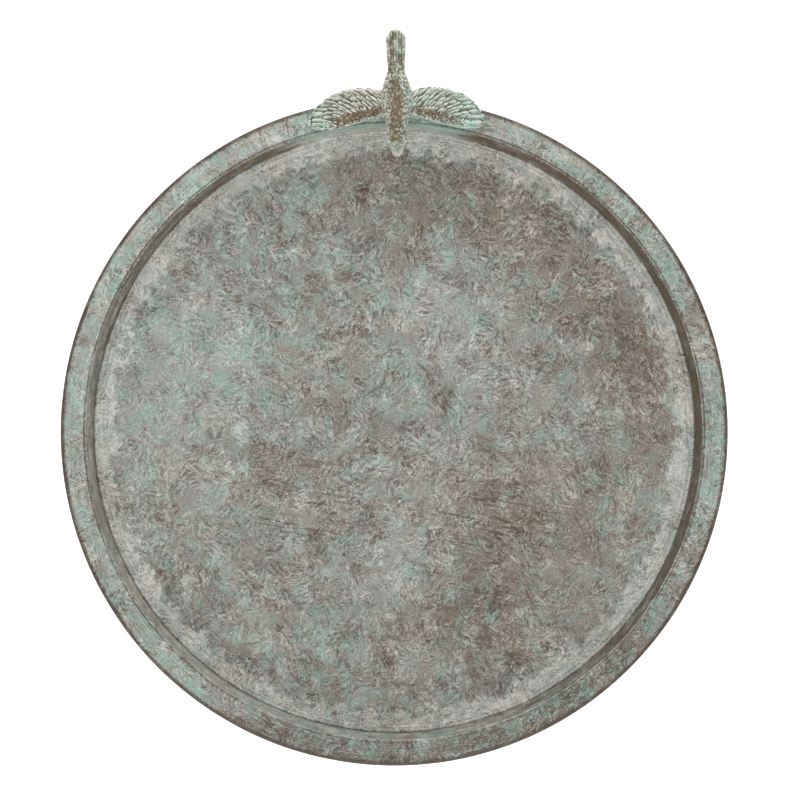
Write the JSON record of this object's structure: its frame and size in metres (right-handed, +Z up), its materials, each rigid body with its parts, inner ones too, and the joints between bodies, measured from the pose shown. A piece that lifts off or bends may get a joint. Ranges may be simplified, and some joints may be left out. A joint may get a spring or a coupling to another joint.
{
  "type": "bird bath bowl",
  "caption": "Shallow round bird bath bowl in patinated cast metal, with a cast bird on its flat rim and screw-in levelling feet.",
  "frame": {"origin": "centre of the flat seat under the bowl, where a pedestal is bolted on", "axes": "+Z up along the bowl's axis, +Y from the bowl's middle to the bird on its rim, +X to the right of a viewer facing +Y"},
  "size_m": [0.5078, 0.555, 0.1118],
  "materials": {
    "bowl_bronze": "mottled verdigris patina over brown cast bronze",
    "bird_bronze": "pale verdigris patina, dark brown in the grooves",
    "turned_brass": "dull turned brass",
    "stainless_steel": "turned stainless steel",
    "black_rubber": "matt moulded rubber"
  },
  "bodies": {
    "bowl": {"basin": "bowl_bronze", "pedestal_bush_1": "turned_brass", "pedestal_bush_2": "turned_brass", "pedestal_bush_3": "turned_brass", "foot_bush_1": "turned_brass", "foot_bush_2": "turned_brass", "foot_bush_3": "turned_brass", "foot_locknut_1": "stainless_steel", "foot_locknut_2": "stainless_steel", "foot_locknut_3": "stainless_steel", "bird_body": "bird_bronze", "wing_left": "bird_bronze", "wing_right": "bird_bronze", "wing_pin_left": "stainless_steel", "wing_pin_right": "stainless_steel", "bird_gasket_left": "black_rubber", "bird_gasket_right": "black_rubber", "bird_stud_left": "stainless_steel", "bird_stud_right": "stainless_steel", "bird_washer_left": "stainless_steel", "bird_washer_right": "stainless_steel", "bird_cap_nut_left": "turned_brass", "bird_cap_nut_right": "turned_brass"},
    "pad_1": {"foot_pad_1": "black_rubber"},
    "pad_2": {"foot_pad_2": "black_rubber"},
    "pad_3": {"foot_pad_3": "black_rubber"},
    "stem_1": {"foot_stem_1": "stainless_steel"},
    "stem_2": {"foot_stem_2": "stainless_steel"},
    "stem_3": {"foot_stem_3": "stainless_steel"}
  },
  "joints": [
    {"name": "foot_1_height", "type": "slide", "parent": "bowl", "child": "pad_1", "axis": [0, 0, 1], "range_m": [-0.005, 0.0025]},
    {"name": "foot_1_turn", "type": "hinge", "parent": "pad_1", "child": "stem_1", "pos_m": [0, 0.15, 0], "axis": [0, 0, 1], "range_deg": [-1450, 730]},
    {"name": "foot_2_height", "type": "slide", "parent": "bowl", "child": "pad_2", "axis": [0, 0, 1], "range_m": [-0.005, 0.0025]},
    {"name": "foot_2_turn", "type": "hinge", "parent": "pad_2", "child": "stem_2", "pos_m": [-0.1299, -0.075, 0], "axis": [0, 0, 1], "range_deg": [-1450, 730]},
    {"name": "foot_3_height", "type": "slide", "parent": "bowl", "child": "pad_3", "axis": [0, 0, 1], "range_m": [-0.005, 0.0025]},
    {"name": "foot_3_turn", "type": "hinge", "parent": "pad_3", "child": "stem_3", "pos_m": [0.1299, -0.075, 0], "axis": [0, 0, 1], "range_deg": [-1450, 730]}
  ],
  "couplings": [
    {"joint": "foot_1_turn", "follows": "foot_1_height", "rad_per_m": 5026.5},
    {"joint": "foot_2_turn", "follows": "foot_2_height", "rad_per_m": 5026.5},
    {"joint": "foot_3_turn", "follows": "foot_3_height", "rad_per_m": 5026.5}
  ]
}
